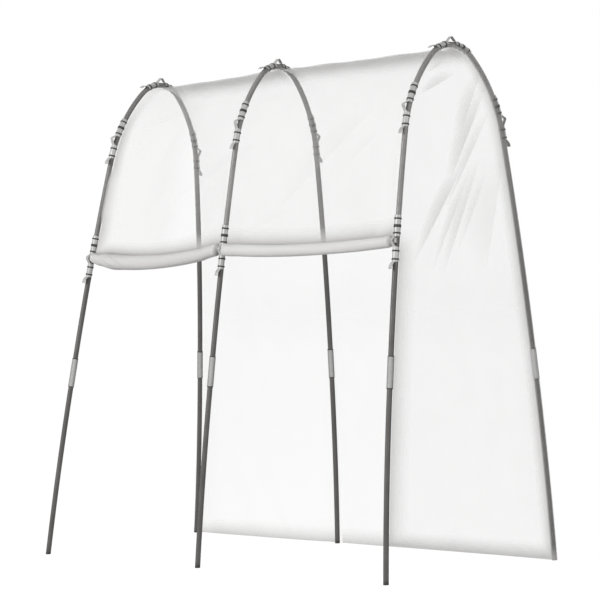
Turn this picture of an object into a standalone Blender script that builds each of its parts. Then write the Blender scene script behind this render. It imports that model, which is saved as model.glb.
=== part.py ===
# Tall tomato tunnel: three bent tube hoops under a clear film cover, with a rolled-up front curtain.
#
# Every hoop is one bent arch tube that stands on two lower leg tubes. A sleeve joins each leg to
# the arch and a plug closes each foot. The film lies over the outside of the hoops and is held
# by snap clips: a fixed grip, and an arm that swings out on a thin hinge. The arms of the three
# lower front clips hold the rolled curtain under their humps.
#
# X runs along the tunnel, the open front faces -Y, and Z is up from the ground.
# A place on a hoop is its path length s from the crown: positive down the front, negative down
# the rear. Round the tube, n points away from the tunnel and b runs along the tunnel.

from math import atan2, ceil, cos, pi, radians, sin

import bmesh
import bpy
from mathutils import Matrix, Vector

# Hoop outline: crown, shoulder and slightly bowed leg, each a true arc, tangent to the next.
CROWN_RADIUS = 0.135
CROWN_ANGLE = radians(45)
SHOULDER_RADIUS = 0.480
SHOULDER_ANGLE = radians(80)
BOW_RADIUS = 11.7

# Tubes, sleeves and foot plugs.
TUBE_DIAMETER = 0.019
TUBE_WALL = 0.0012
ARCH_LENGTH = 2.432
LEG_LENGTH = 0.688
SLEEVE_LENGTH = 0.110
SLEEVE_WALL = 0.0014
SLEEVE_STOP = 0.004
SLEEVE_CHAMFER = 0.0008
PLUG_HEAD = 0.009
PLUG_STEM = 0.022
PLUG_TAPER = 0.0010
TUBE_SIDES = 12

# Clearance between pieces that touch, and between the film and a clip's bore.
GAP = 0.0003
BORE_CLEARANCE = 0.00035

# Shortest distance between two rows of points along a hoop.
ROW_SPACING = 0.002

# How the three hoops are pushed into the ground: station along X, lean along X and turn.
HOOPS = {
    "left": {"station": -0.780, "lean": radians(8.7), "turn": radians(0.0)},
    "middle": {"station": 0.0, "lean": radians(3.3), "turn": radians(2.5)},
    "right": {"station": 0.942, "lean": radians(-1.2), "turn": radians(-8.3)},
}
BAYS = (("left", "middle"), ("middle", "right"))

# Clips: place of the hump along the hoop, and the way the arm points (1 is forward).
CLIPS = {
    "crown": {"hump": 0.0, "way": 1},
    "front_upper": {"hump": 0.322, "way": 1},
    "front_lower": {"hump": 0.780, "way": 1},
    "rear_upper": {"hump": -0.357, "way": -1},
}

# One clip, measured along the tube from the free end of its grip.
CLIP_WALL = 0.0016
GRIP_LENGTH = 0.073
GRIP_TAPER_LENGTH = 0.005
GRIP_TAPER = 0.0006
HUMP_AT = 0.088
HUMP_RISE = 0.028
HUMP_ROUND = 0.002
CHANNEL_START = 0.109
CHANNEL_END = 0.157
STRAP_WIDTH = 0.014
STRAP_THICKNESS = 0.0024
STRAP_RUN_IN = 0.004
TAB_LENGTH = 0.027
TAB_RISE = 0.0245
TAB_WIDTH = 0.016

# The finger tab's curve: share of its length, share of its rise, and tilt.
TAB_CURVE = (
    (0.12, 0.08, radians(15)),
    (0.35, 0.48, radians(48)),
    (0.60, 0.88, radians(35)),
    (1.00, 1.00, 0.0),
)

# Raised bands round the clips: middle of each band along the clip, and its width.
BAND_HEIGHT = 0.0008
BAND_EDGE = 0.0002
THIN_BAND = 0.0028
THICK_BAND = 0.0055
GRIP_BANDS = ((0.012, THIN_BAND), (0.037, THICK_BAND), (0.061, THIN_BAND))
ARM_BANDS = ((0.121, THIN_BAND), (0.149, THIN_BAND))

# Film cover. The sag between two hoops is full at the crown and less at the hems.
FILM = 0.0006
FILM_SAG = 0.016
HEM_SAG_SHARE = 0.35
LIP_DROP = 0.0012
HEM_OVERHANG = 0.015
FLARE_NEAR = 0.018
FLARE_FAR = 0.096
PINCH_HOLD = 0.029
PINCH_FADE = 0.070
ROOF_FRONT_EDGE = 0.450
FRONT_EDGE_GAP = 0.0014
ROOF_REAR_EDGE = 0.520
SLEEVE_APPROACH = 0.350
HEM_CLEARANCE = 0.0008
BAY_COLUMNS = (0.25, 0.5, 0.75)
WALL_ROWS = (0.60, 0.70, 0.90, 1.05)
FRONT_ROWS = (0.0, 0.28, 0.52, 0.7, 0.85, 1.0)

# End panel of the right hoop, and the fan of folds drawn in by the rear clip.
PANEL_CORNER_HEIGHT = 0.130
PANEL_COLUMNS = 14
PANEL_LAP = 0.001
FOLD_DEPTH = 0.009
FOLD_COUNT = 7
FOLD_RISE = 0.15
FOLD_REACH = 0.75
FOLD_FAN = radians(80)
FOLD_MARGIN = 0.25

# Rolled curtain: its radius beside each hoop and its sag in each bay.
ROLL_RADII = {"left": 0.034, "middle": 0.0245, "right": 0.022}
ROLL_SAGS = (0.030, 0.016)
ROLL_NECK_HEIGHT = 0.0085
ROLL_NECK_DEPTH = 0.0038
ROLL_NECK_LENGTH = 0.012
ROLL_SWELL_LENGTH = 0.030
ROLL_OVERHANG = 0.024
ROLL_TWISTS = 3
ROLL_TWIST_DEPTH = 0.06
ROLL_TWIST_PITCH = 0.260
ROLL_STATION = 0.075
ROLL_SIDES = 12
ROLL_FULL = ROLL_NECK_LENGTH + ROLL_SWELL_LENGTH

# Worked out from the sizes above.
TUBE_RADIUS = TUBE_DIAMETER / 2
BORE_RADIUS = TUBE_RADIUS - TUBE_WALL
SLEEVE_RADIUS = TUBE_RADIUS + GAP + SLEEVE_WALL
FACET = radians(45)
ANGLES = (-2 * FACET, -FACET, 0.0, FACET, 2 * FACET)
CLIP_BORE = (TUBE_RADIUS + GAP) / cos(FACET / 2) + FILM + BORE_CLEARANCE
CLIP_RADIUS = CLIP_BORE + CLIP_WALL
PANEL_OFFSET = (SLEEVE_RADIUS + GAP) / cos(FACET / 2) + FILM + PANEL_LAP
CROWN_LENGTH = CROWN_RADIUS * CROWN_ANGLE
SHOULDER_LENGTH = SHOULDER_RADIUS * (SHOULDER_ANGLE - CROWN_ANGLE)
JOINT_AT = ARCH_LENGTH / 2 + GAP + SLEEVE_STOP / 2
LEG_START = JOINT_AT + SLEEVE_STOP / 2 + GAP
LEG_END = LEG_START + LEG_LENGTH
GROUND_AT = LEG_END + PLUG_HEAD
STRAIGHT_START = JOINT_AT - SLEEVE_LENGTH / 2
UPPER_BOW_LENGTH = STRAIGHT_START - CROWN_LENGTH - SHOULDER_LENGTH
LOWER_BOW_LENGTH = GROUND_AT - STRAIGHT_START - SLEEVE_LENGTH


def remove_everything():
    for item in list(bpy.data.objects):
        bpy.data.objects.remove(item, do_unlink=True)


def material(name, colour, roughness, metallic=0.0, alpha=1.0):
    made = bpy.data.materials.new(name)
    made.use_nodes = True
    shader = made.node_tree.nodes["Principled BSDF"]
    shader.inputs["Base Color"].default_value = (*colour, 1.0)
    shader.inputs["Roughness"].default_value = roughness
    shader.inputs["Metallic"].default_value = metallic
    shader.inputs["Alpha"].default_value = alpha
    return made


def empty(name, parent=None, matrix=None):
    made = bpy.data.objects.new(name, None)
    made.empty_display_size = 0.03
    bpy.context.scene.collection.objects.link(made)
    made.parent = parent
    if matrix is not None:
        made.matrix_local = matrix
    return made


def mesh_object(name, solid, finish, parent):
    """One object from a closed solid, given as its points and faces."""
    points, faces = solid
    mesh = bpy.data.meshes.new(name)
    mesh.from_pydata(points, [], faces)
    surface = bmesh.new()
    surface.from_mesh(mesh)
    bmesh.ops.recalc_face_normals(surface, faces=surface.faces)
    surface.to_mesh(mesh)
    surface.free()
    mesh.shade_smooth()
    mesh.set_sharp_from_angle(angle=radians(35))
    made = bpy.data.objects.new(name, mesh)
    made.data.materials.append(finish)
    bpy.context.scene.collection.objects.link(made)
    made.parent = parent
    return made


def strip_faces(start, rows, columns):
    """Faces of a grid of points whose first point has the index start."""
    corners = [start + i * columns + j for i in range(rows - 1) for j in range(columns - 1)]
    return [(a, a + 1, a + columns + 1, a + columns) for a in corners]


def slab(sections):
    """A closed solid from sections along it, each an outer and an inner row of points.

    A section whose inner row is None only shapes the outer side, such as the edge of a band.
    """
    columns = len(sections[0][0])
    outer = [top for top, _ in sections]
    inner = [bottom for _, bottom in sections if bottom]
    under = len(outer) * columns
    points = [point for row in outer + inner for point in row]
    faces = strip_faces(0, len(outer), columns) + strip_faces(under, len(inner), columns)
    whole = [i for i, (_, bottom) in enumerate(sections) if bottom]
    for end in (0, len(whole) - 1):
        for j in range(columns - 1):
            above, below = whole[end] * columns + j, under + end * columns + j
            faces.append((above, above + 1, below + 1, below))
    for k in range(len(whole) - 1):
        for j in (0, columns - 1):
            above = [i * columns + j for i in range(whole[k], whole[k + 1] + 1)]
            below = [under + (k + 1) * columns + j, under + k * columns + j]
            faces.append((*above, *below))
    return points, faces


def lathe_walls(rings):
    """A closed solid of revolution or sweep from rings that run out along it and back inside."""
    sides = len(rings[0])
    points = [point for ring in rings for point in ring]
    faces = []
    for i in range(len(rings)):
        near, far = i * sides, (i + 1) % len(rings) * sides
        for j in range(sides):
            k = (j + 1) % sides
            faces.append((near + j, near + k, far + k, far + j))
    return points, faces


def lathe_solid(rings):
    """A closed solid from rings along it, with a flat cap at both ends."""
    sides = len(rings[0])
    points = [point for ring in rings for point in ring]
    faces = [tuple(range(sides)), tuple((len(rings) - 1) * sides + j for j in range(sides))]
    for i in range(len(rings) - 1):
        near, far = i * sides, (i + 1) * sides
        for j in range(sides):
            k = (j + 1) % sides
            faces.append((near + j, near + k, far + k, far + j))
    return points, faces


# Hoop outline


def half_outline(length):
    """Distance from the middle, drop below the crown and slope at a path length down one side."""
    stretches = (
        (CROWN_LENGTH, CROWN_RADIUS),
        (SHOULDER_LENGTH, SHOULDER_RADIUS),
        (UPPER_BOW_LENGTH, BOW_RADIUS),
        (SLEEVE_LENGTH, None),
        (LOWER_BOW_LENGTH, BOW_RADIUS),
    )
    out, drop, slope, left = 0.0, 0.0, 0.0, length
    for number, (span, radius) in enumerate(stretches):
        step = left if number == len(stretches) - 1 else min(left, span)
        if radius is None:
            out += step * cos(slope)
            drop += step * sin(slope)
        else:
            turned = slope + step / radius
            out += radius * (sin(turned) - sin(slope))
            drop += radius * (cos(slope) - cos(turned))
            slope = turned
        left -= step
        if left <= 0:
            break
    return out, drop, slope


HOOP_HEIGHT = half_outline(GROUND_AT)[1]


def steps(start, end, count):
    return [start + (end - start) * i / count for i in range(count + 1)]


def outline_rows():
    """Path lengths where the hoop's own facets meet, down one side."""
    shoulder_end = CROWN_LENGTH + SHOULDER_LENGTH
    rows = steps(0.0, CROWN_LENGTH, 4)
    rows += steps(CROWN_LENGTH, shoulder_end, 4)[1:]
    rows += steps(shoulder_end, STRAIGHT_START, 2)[1:]
    rows += [STRAIGHT_START + SLEEVE_LENGTH]
    rows += steps(STRAIGHT_START + SLEEVE_LENGTH, GROUND_AT, 2)[1:]
    return rows


OUTLINE_ROWS = sorted([-row for row in outline_rows()[1:]] + outline_rows())


def rows_between(start, end, extra=()):
    """Path lengths from start to end, with the outline's facet rows and any others between."""
    low, high = min(start, end), max(start, end)
    inner = [row for row in [*OUTLINE_ROWS, *extra] if low + ROW_SPACING < row < high - ROW_SPACING]
    rows = [low, *sorted(inner), high]
    return rows if start < end else rows[::-1]


def path_point(s, n=0.0, b=0.0):
    """A point by path length, offset n away from the tunnel and b along it, in the hoop's frame."""
    out, drop, slope = half_outline(abs(s))
    side = -1.0 if s >= 0 else 1.0
    outward = Vector((0.0, side * sin(slope), cos(slope)))
    return Vector((b, side * out, HOOP_HEIGHT - drop)) + n * outward


def hoop_matrix(hoop):
    placing = HOOPS[hoop]
    turn = Matrix.Rotation(placing["turn"], 4, "Z")
    lean = Matrix.Rotation(placing["lean"], 4, "Y")
    return Matrix.Translation((placing["station"], 0.0, 0.0)) @ turn @ lean


# Frame pieces


def ring_at(s, radius):
    angles = [2 * pi * j / TUBE_SIDES for j in range(TUBE_SIDES)]
    return [path_point(s, radius * cos(angle), radius * sin(angle)) for angle in angles]


def tube(name, start, end, finish, parent):
    rows = rows_between(start, end)
    outside = [ring_at(s, TUBE_RADIUS) for s in rows]
    inside = [ring_at(s, BORE_RADIUS) for s in rows]
    return mesh_object(name, lathe_walls(outside + inside[::-1]), finish, parent)


def sleeve(name, side, finish, parent):
    """Straight sleeve with a stop ring inside, where the ends of both tubes meet it."""
    half, stop = SLEEVE_LENGTH / 2, SLEEVE_STOP / 2
    profile = (
        (-half, SLEEVE_RADIUS - SLEEVE_CHAMFER),
        (-half + SLEEVE_CHAMFER, SLEEVE_RADIUS),
        (half - SLEEVE_CHAMFER, SLEEVE_RADIUS),
        (half, SLEEVE_RADIUS - SLEEVE_CHAMFER),
        (half, TUBE_RADIUS + GAP),
        (stop, TUBE_RADIUS + GAP),
        (stop, BORE_RADIUS),
        (-stop, BORE_RADIUS),
        (-stop, TUBE_RADIUS + GAP),
        (-half, TUBE_RADIUS + GAP),
    )
    rings = [ring_at(side * (JOINT_AT + along), radius) for along, radius in profile]
    return mesh_object(name, lathe_walls(rings), finish, parent)


def foot_plug(side, placing):
    """A plug with a stem in the tube's bore and a head that is cut level with the ground."""
    stem_radius = BORE_RADIUS - GAP
    rings = [
        ring_at(side * (LEG_END - PLUG_STEM), stem_radius - PLUG_TAPER),
        ring_at(side * (LEG_END - PLUG_STEM / 2), stem_radius),
        ring_at(side * (LEG_END + GAP), stem_radius),
        ring_at(side * (LEG_END + GAP), TUBE_RADIUS),
    ]
    rings = [[placing @ point for point in ring] for ring in rings]
    axis = placing @ path_point(side * GROUND_AT) - placing @ path_point(side * LEG_END)
    rings.append([point - axis * (point.z / axis.z) for point in rings[-1]])
    return lathe_solid(rings)


# Clips


class Clip:
    """Where one clip's own measures lie on its hoop."""

    def __init__(self, place):
        self.hump = CLIPS[place]["hump"]
        self.way = CLIPS[place]["way"]

    def path(self, along):
        return self.hump + self.way * (along - HUMP_AT)

    def along(self, s):
        return (s - self.hump) * self.way + HUMP_AT

    def rows(self, start, end):
        return [self.along(s) for s in rows_between(self.path(start), self.path(end))]

    def point(self, along, n, b):
        return path_point(self.path(along), n, b)

    def channel(self, along, outer, inner):
        """Outer and inner points of the half-round channel at one section."""
        top = [self.point(along, outer * cos(angle), outer * sin(angle)) for angle in ANGLES]
        bottom = [self.point(along, inner * cos(angle), inner * sin(angle)) for angle in ANGLES]
        return top, bottom

    def strap(self, along, middle, tilt, width):
        """Outer and inner points of the flat strap, whose section leans by the tilt."""
        shares = [angle / ANGLES[-1] for angle in ANGLES]
        half = STRAP_THICKNESS / 2
        over = (along - half * sin(tilt), middle + half * cos(tilt))
        under = (along + half * sin(tilt), middle - half * cos(tilt))
        top = [self.point(over[0], over[1], share * width / 2) for share in shares]
        bottom = [self.point(under[0], under[1], share * width / 2) for share in shares]
        return top, bottom


def banded_channel(clip, start, end, bands):
    """Sections of a half-round channel whose outside carries raised bands."""
    edges = {along: (CLIP_RADIUS, True) for along in clip.rows(start, end)}
    for middle, width in bands:
        for side in (-1, 1):
            edges[middle + side * width / 2] = (CLIP_RADIUS + BAND_HEIGHT, False)
            edges[middle + side * (width / 2 + BAND_EDGE)] = (CLIP_RADIUS, False)
    sections = []
    for along in sorted(edges):
        radius, whole = edges[along]
        inside_band = any(abs(along - middle) < width / 2 for middle, width in bands)
        radius += BAND_HEIGHT if inside_band and whole else 0.0
        top, bottom = clip.channel(along, radius, CLIP_BORE)
        sections.append((top, bottom if whole else None))
    return sections


def clip_grip(clip):
    """The fixed half-round grip, tapered at its free end."""
    free_end = clip.channel(0.0, CLIP_RADIUS - GRIP_TAPER, CLIP_BORE)
    return slab([free_end, *banded_channel(clip, GRIP_TAPER_LENGTH, GRIP_LENGTH, GRIP_BANDS)])


def clip_arm(clip):
    """The swinging arm: humped strap, half-round channel and finger tab, in one moulding."""
    root_at = GRIP_LENGTH + GAP
    low = CLIP_BORE + STRAP_THICKNESS / 2
    high = HUMP_RISE - STRAP_THICKNESS / 2
    strap_end = CHANNEL_START - STRAP_RUN_IN
    up = atan2(high - low, HUMP_AT - root_at)
    down = -atan2(high - low, strap_end - HUMP_AT)
    sections = [
        clip.strap(root_at, low, 0.0, STRAP_WIDTH),
        clip.strap((root_at + HUMP_AT) / 2, (low + high) / 2, up, STRAP_WIDTH),
        clip.strap(HUMP_AT - HUMP_ROUND, high, up / 2, STRAP_WIDTH),
        clip.strap(HUMP_AT + HUMP_ROUND, high, down / 2, STRAP_WIDTH),
        clip.strap((strap_end + HUMP_AT) / 2, (low + high) / 2, down, STRAP_WIDTH),
        clip.strap(strap_end, low, down / 2, STRAP_WIDTH),
    ]
    sections += banded_channel(clip, CHANNEL_START, CHANNEL_END, ARM_BANDS)
    rise = TAB_RISE - STRAP_THICKNESS / 2 - low
    for share, lift, tilt in TAB_CURVE:
        at = CHANNEL_END + share * TAB_LENGTH
        sections.append(clip.strap(at, low + lift * rise, tilt, TAB_WIDTH))
    return slab(sections)


def moved(solid, matrix):
    points, faces = solid
    return [matrix @ point for point in points], faces


def hinge_matrix(clip):
    """The arm's hinge line, in the outer skin between the grip and the strap."""
    at = clip.point(GRIP_LENGTH + GAP / 2, CLIP_RADIUS, 0.0)
    return Matrix.Translation(at)


# Film cover


def clip_pinch(s):
    """How far the film is drawn down beside the tube: 1 from clip to clip over the crown."""
    top, rear, lower = Clip("front_upper"), Clip("rear_upper"), Clip("front_lower")
    if s < 0:
        away = abs(s) - abs(rear.path(CHANNEL_END))
    else:
        away = min(s - top.path(CHANNEL_END), max(0.0, lower.path(0.0) - s))
    return max(0.0, min(1.0, 1 - (away - PINCH_HOLD) / PINCH_FADE))


def film_reach(s):
    """Distance from the tube's axis to the film's middle, wider where it passes a sleeve."""
    near = min(1.0, max(0.0, 1 - (STRAIGHT_START - abs(s)) / SLEEVE_APPROACH))
    clear = TUBE_RADIUS + (SLEEVE_RADIUS - TUBE_RADIUS) * near
    return clear + GAP + FILM / 2


def bay_length(bay):
    near, far = BAYS[bay]
    return HOOPS[far]["station"] - HOOPS[near]["station"]


def skin_point(bay, across, s, n):
    """A point between two hoops, square to a hoop close to it and straight between them."""
    near, far = BAYS[bay]
    start = hoop_matrix(near) @ path_point(s, n)
    end = hoop_matrix(far) @ path_point(s, n)
    between = start.lerp(end, across)
    from_near, from_far = across * bay_length(bay), (1 - across) * bay_length(bay)
    away = min(from_near, from_far)
    if away >= FLARE_FAR:
        return between
    if from_near < from_far:
        beside = hoop_matrix(near) @ path_point(s, n, from_near)
    else:
        beside = hoop_matrix(far) @ path_point(s, n, -from_far)
    return beside.lerp(between, max(0.0, (away - FLARE_NEAR) / (FLARE_FAR - FLARE_NEAR)))


def roll_fatness(bay, across):
    """0 in the neck under a clip's hump, 1 where the roll is full."""
    from_hoop = min(across, 1 - across) * bay_length(bay)
    return min(1.0, max(0.0, (from_hoop - ROLL_NECK_LENGTH) / ROLL_SWELL_LENGTH))


def roll_place(bay, across):
    """Half height, half depth, path length and offset of the curtain roll's middle."""
    near, far = BAYS[bay]
    fat = roll_fatness(bay, across)
    full = ROLL_RADII[near] + (ROLL_RADII[far] - ROLL_RADII[near]) * across
    height = ROLL_NECK_HEIGHT + (full - ROLL_NECK_HEIGHT) * fat
    depth = ROLL_NECK_DEPTH + (full - ROLL_NECK_DEPTH) * fat
    sag = ROLL_SAGS[bay] * 4 * across * (1 - across) * fat
    offset = CLIP_BORE + GAP + ROLL_NECK_DEPTH
    return height, depth, CLIPS["front_lower"]["hump"] + sag, offset


def curtain_edge(bay, across):
    """Where the front film ends on top of the roll: path length and offset."""
    height, _, middle, offset = roll_place(bay, across)
    fat = roll_fatness(bay, across)
    return middle - height * (1 + ROLL_TWIST_DEPTH * fat) - GAP, offset, fat


class Column:
    """One line of the film that runs over the tunnel from hem to hem."""

    def __init__(self, kind, where, value, outer=False):
        self.kind = kind
        self.where = where
        self.value = value
        self.outer = outer

    def share(self):
        """Bay and share of the way across it."""
        if self.kind == "bay":
            return self.where, self.value
        if self.where == "right":
            return 1, 1.0
        return (0, 0.0) if self.where == "left" else (1, 0.0)

    def sagged(self, s, n):
        _, across = self.share()
        fade = min(1.0, HEM_SAG_SHARE + GROUND_AT - abs(s))
        return n - FILM_SAG * 4 * across * (1 - across) * fade

    def point(self, s, edge=0.0):
        """The film's middle surface here; edge draws it out to the roll's crest."""
        reach = film_reach(s)
        pinch = 1.0 if self.outer else clip_pinch(s)
        if self.kind == "tube":
            round_it = (reach - FILM / 2) / cos(FACET / 2) + FILM / 2
            out, along = round_it * cos(self.value), round_it * sin(self.value)
            if abs(self.value) == ANGLES[-1]:
                out = -LIP_DROP
            out = reach + (out - reach) * pinch
            return hoop_matrix(self.where) @ path_point(s, out, along)
        if self.kind == "hem":
            out = reach + (-LIP_DROP - reach) * pinch
            return hoop_matrix(self.where) @ path_point(s, out, self.value)
        bay, across = self.share()
        from_hoop = min(across, 1 - across) * bay_length(bay)
        flat = max(0.0, (FLARE_FAR - from_hoop) / (FLARE_FAR - FLARE_NEAR))
        out = reach + (-LIP_DROP - reach) * pinch * flat
        _, crest, fat = curtain_edge(bay, across)
        out = self.sagged(s, out)
        out += (crest - out) * edge * fat ** 2
        return skin_point(bay, across, s, out)


def film_columns(beside_hoops=(FLARE_NEAR, FLARE_FAR)):
    """The film's columns, from the hem at the left hoop to the end panel at the right hoop."""
    columns = [Column("hem", "left", -HEM_OVERHANG, outer=True)]
    columns += [Column("tube", "left", angle, outer=angle < 0) for angle in ANGLES]
    for bay, (_, far) in enumerate(BAYS):
        length = bay_length(bay)
        near = [distance / length for distance in beside_hoops]
        shares = [*near, *BAY_COLUMNS, *[1 - share for share in near[::-1]]]
        columns += [Column("bay", bay, share) for share in shares]
        last = far == "right"
        columns += [Column("tube", far, angle, outer=last and angle > 0) for angle in ANGLES]
    columns.append(Column("hem", "right", PANEL_OFFSET, outer=True))
    return columns


def sheet(grid):
    """A closed thin solid of the film's thickness on both sides of a grid of points."""
    rows, columns = len(grid), len(grid[0])
    sections = []
    for i in range(rows):
        top, bottom = [], []
        for j in range(columns):
            down = grid[min(i + 1, rows - 1)][j] - grid[max(i - 1, 0)][j]
            across = grid[i][min(j + 1, columns - 1)] - grid[i][j]
            before = grid[i][j] - grid[i][max(j - 1, 0)]
            along = across.normalized() + before.normalized()
            normal = down.cross(along).normalized()
            top.append(grid[i][j] + normal * FILM / 2)
            bottom.append(grid[i][j] - normal * FILM / 2)
        sections.append((top, bottom))
    return slab(sections)


def lifted(grid):
    """The same grid, held just clear of the ground."""
    low = HEM_CLEARANCE + FILM / 2
    return [[Vector((point.x, point.y, max(point.z, low))) for point in row] for row in grid]


def cover_roof():
    hold = Clip("rear_upper").path(CHANNEL_END) - PINCH_HOLD
    rows = rows_between(-ROOF_REAR_EDGE, ROOF_FRONT_EDGE, [hold])
    columns = film_columns()
    return sheet([[column.point(s) for column in columns] for s in rows])


def cover_back():
    rows = rows_between(-ROOF_REAR_EDGE - GAP, -GROUND_AT, [-s for s in WALL_ROWS])
    columns = film_columns()
    return sheet(lifted([[column.point(s) for column in columns] for s in rows]))


def cover_front():
    """The front film, from the roof's edge down to the crest of the roll."""
    columns = film_columns((FLARE_NEAR, ROLL_FULL, FLARE_FAR))
    start = ROOF_FRONT_EDGE + FRONT_EDGE_GAP
    grid = []
    for share in FRONT_ROWS:
        row = []
        for column in columns:
            bay, across = column.share()
            end = curtain_edge(bay, across)[0]
            s = start + (end - start) * share
            row.append(column.point(s, edge=max(0.0, 2 * share - 1) ** 2))
        grid.append(row)
    return sheet(grid)


def fold_height(point):
    """How far the fan of folds stands out of the end panel, at a point in the hoop's frame."""
    away = point - path_point(CLIPS["rear_upper"]["hump"])
    angle = atan2(-away.y, -away.z)
    if not 0 <= angle <= FOLD_FAN:
        return 0.0
    wave = (1 - cos(2 * pi * FOLD_COUNT * angle / FOLD_FAN)) / 2
    reach = min(1.0, away.length / FOLD_RISE) * max(0.0, 1 - away.length / FOLD_REACH)
    return FOLD_DEPTH * wave * reach


def panel_row(front, rear):
    """Points across the end panel between a place on the front leg and one on the rear leg."""
    inset = -LIP_DROP - FILM / 2 - GAP
    start, end = path_point(front, inset), path_point(-rear, inset)
    above_first_facet = front < CROWN_LENGTH / 3
    crown = path_point(0.0, inset) if above_first_facet else start.lerp(end, 1 / 2)
    half = PANEL_COLUMNS // 2
    row = [start.lerp(crown, share) for share in steps(0.0, 1.0, half)]
    return row + [crown.lerp(end, share) for share in steps(0.0, 1.0, half)[1:]]


def end_panel(placing):
    """The sheet that closes the right hoop, with its front corner drawn up off the ground."""
    corner = GROUND_AT - PANEL_CORNER_HEIGHT / sin(half_outline(GROUND_AT)[2])
    rows = rows_between(0.0, GROUND_AT, (ROOF_REAR_EDGE, *WALL_ROWS))[1:]
    grid = []
    for rear in rows:
        below = max(0.0, (rear - STRAIGHT_START) / (GROUND_AT - STRAIGHT_START))
        front = rear - below * (GROUND_AT - corner)
        row = []
        for j, point in enumerate(panel_row(front, rear)):
            across = j / PANEL_COLUMNS
            inside = min(1.0, across / FOLD_MARGIN, (1 - across) / FOLD_MARGIN)
            point.x = PANEL_OFFSET + inside * fold_height(point)
            row.append(placing @ point)
        grid.append(row)
    return sheet(lifted(grid))


def roll_stations(bay):
    """Shares across a bay where the roll has a section, from one hump to the next."""
    length = bay_length(bay)
    near = [0.0, ROLL_NECK_LENGTH, (ROLL_NECK_LENGTH + ROLL_FULL) / 2]
    count = ceil((length - 2 * ROLL_FULL) / ROLL_STATION)
    middle = steps(ROLL_FULL, length - ROLL_FULL, count)
    far = [length - along for along in near[:0:-1]]
    return [along / length for along in near + middle + far]


def roll_section(bay, across):
    """The roll's outline at one place, with the twisted folds that run round it."""
    height, depth, middle, offset = roll_place(bay, across)
    fat = roll_fatness(bay, across)
    turn = 2 * pi * (across + bay) * bay_length(bay) / ROLL_TWIST_PITCH
    ring = []
    for j in range(ROLL_SIDES):
        angle = 2 * pi * j / ROLL_SIDES
        fold = 1 + ROLL_TWIST_DEPTH * fat * cos(ROLL_TWISTS * angle + turn)
        s = middle + height * fold * cos(angle)
        ring.append(skin_point(bay, across, s, offset + depth * fold * sin(angle)))
    return ring


def curtain_roll():
    """The film's rolled lower front, drawn in to a flat neck under each lower front clip."""
    first, last = -ROLL_OVERHANG / bay_length(0), 1 + ROLL_OVERHANG / bay_length(1)
    rings = [roll_section(0, across) for across in [first, *roll_stations(0)]]
    rings += [roll_section(1, across) for across in [*roll_stations(1), 1.0, last]]
    return lathe_solid(rings)


# The whole tunnel


def build_hoop(hoop, root, finishes):
    """One hoop with its legs, sleeves, foot plugs and clips."""
    placing = hoop_matrix(hoop)
    frame = empty(f"{hoop}_hoop", root, placing)
    tube(f"{hoop}_arch_tube", ARCH_LENGTH / 2, -ARCH_LENGTH / 2, finishes["tube"], frame)
    for side_name, side in (("front", 1), ("rear", -1)):
        leg = f"{hoop}_{side_name}"
        tube(f"{leg}_leg_tube", side * LEG_START, side * LEG_END, finishes["tube"], frame)
        sleeve(f"{leg}_sleeve", side, finishes["sleeve"], frame)
        plug = moved(foot_plug(side, placing), placing.inverted())
        mesh_object(f"{leg}_foot_plug", plug, finishes["plug"], frame)
    for place in CLIPS:
        clip = Clip(place)
        name = f"{hoop}_{place}_clip"
        mesh_object(f"{name}_grip", clip_grip(clip), finishes["clip"], frame)
        hinge = empty(f"{name}_hinge", frame, hinge_matrix(clip))
        arm = moved(clip_arm(clip), hinge_matrix(clip).inverted())
        mesh_object(f"{name}_arm", arm, finishes["clip"], hinge)


def centre_on_footprint(root):
    """Puts the origin on the ground in the middle of the whole tunnel's box."""
    bpy.context.view_layer.update()
    corners = []
    for item in bpy.data.objects:
        if item.type == "MESH":
            corners += [item.matrix_world @ vertex.co for vertex in item.data.vertices]
    for axis in (0, 1):
        values = [corner[axis] for corner in corners]
        root.location[axis] -= (min(values) + max(values)) / 2
    root.location.z -= min(corner.z for corner in corners)
    bpy.context.view_layer.update()


def build_tunnel():
    remove_everything()
    finishes = {
        "tube": material("tube_grey", (0.16, 0.15, 0.145), 0.45, 0.6),
        "sleeve": material("sleeve_grey", (0.55, 0.55, 0.54), 0.35, 0.3),
        "plug": material("plug_black", (0.03, 0.03, 0.03), 0.7),
        "clip": material("clip_grey", (0.62, 0.62, 0.60), 0.35),
        "film": material("film_clear", (0.9, 0.9, 0.89), 0.25, alpha=0.45),
    }
    root = empty("tunnel")
    for hoop in HOOPS:
        build_hoop(hoop, root, finishes)
    mesh_object("cover_roof", cover_roof(), finishes["film"], root)
    mesh_object("cover_front", cover_front(), finishes["film"], root)
    mesh_object("cover_back", cover_back(), finishes["film"], root)
    mesh_object("end_panel", end_panel(hoop_matrix("right")), finishes["film"], root)
    mesh_object("curtain_roll", curtain_roll(), finishes["film"], root)
    centre_on_footprint(root)


build_tunnel()
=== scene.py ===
from math import cos, pi, radians, sin

import bpy
import numpy as np
from mathutils import Matrix, Vector

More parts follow.
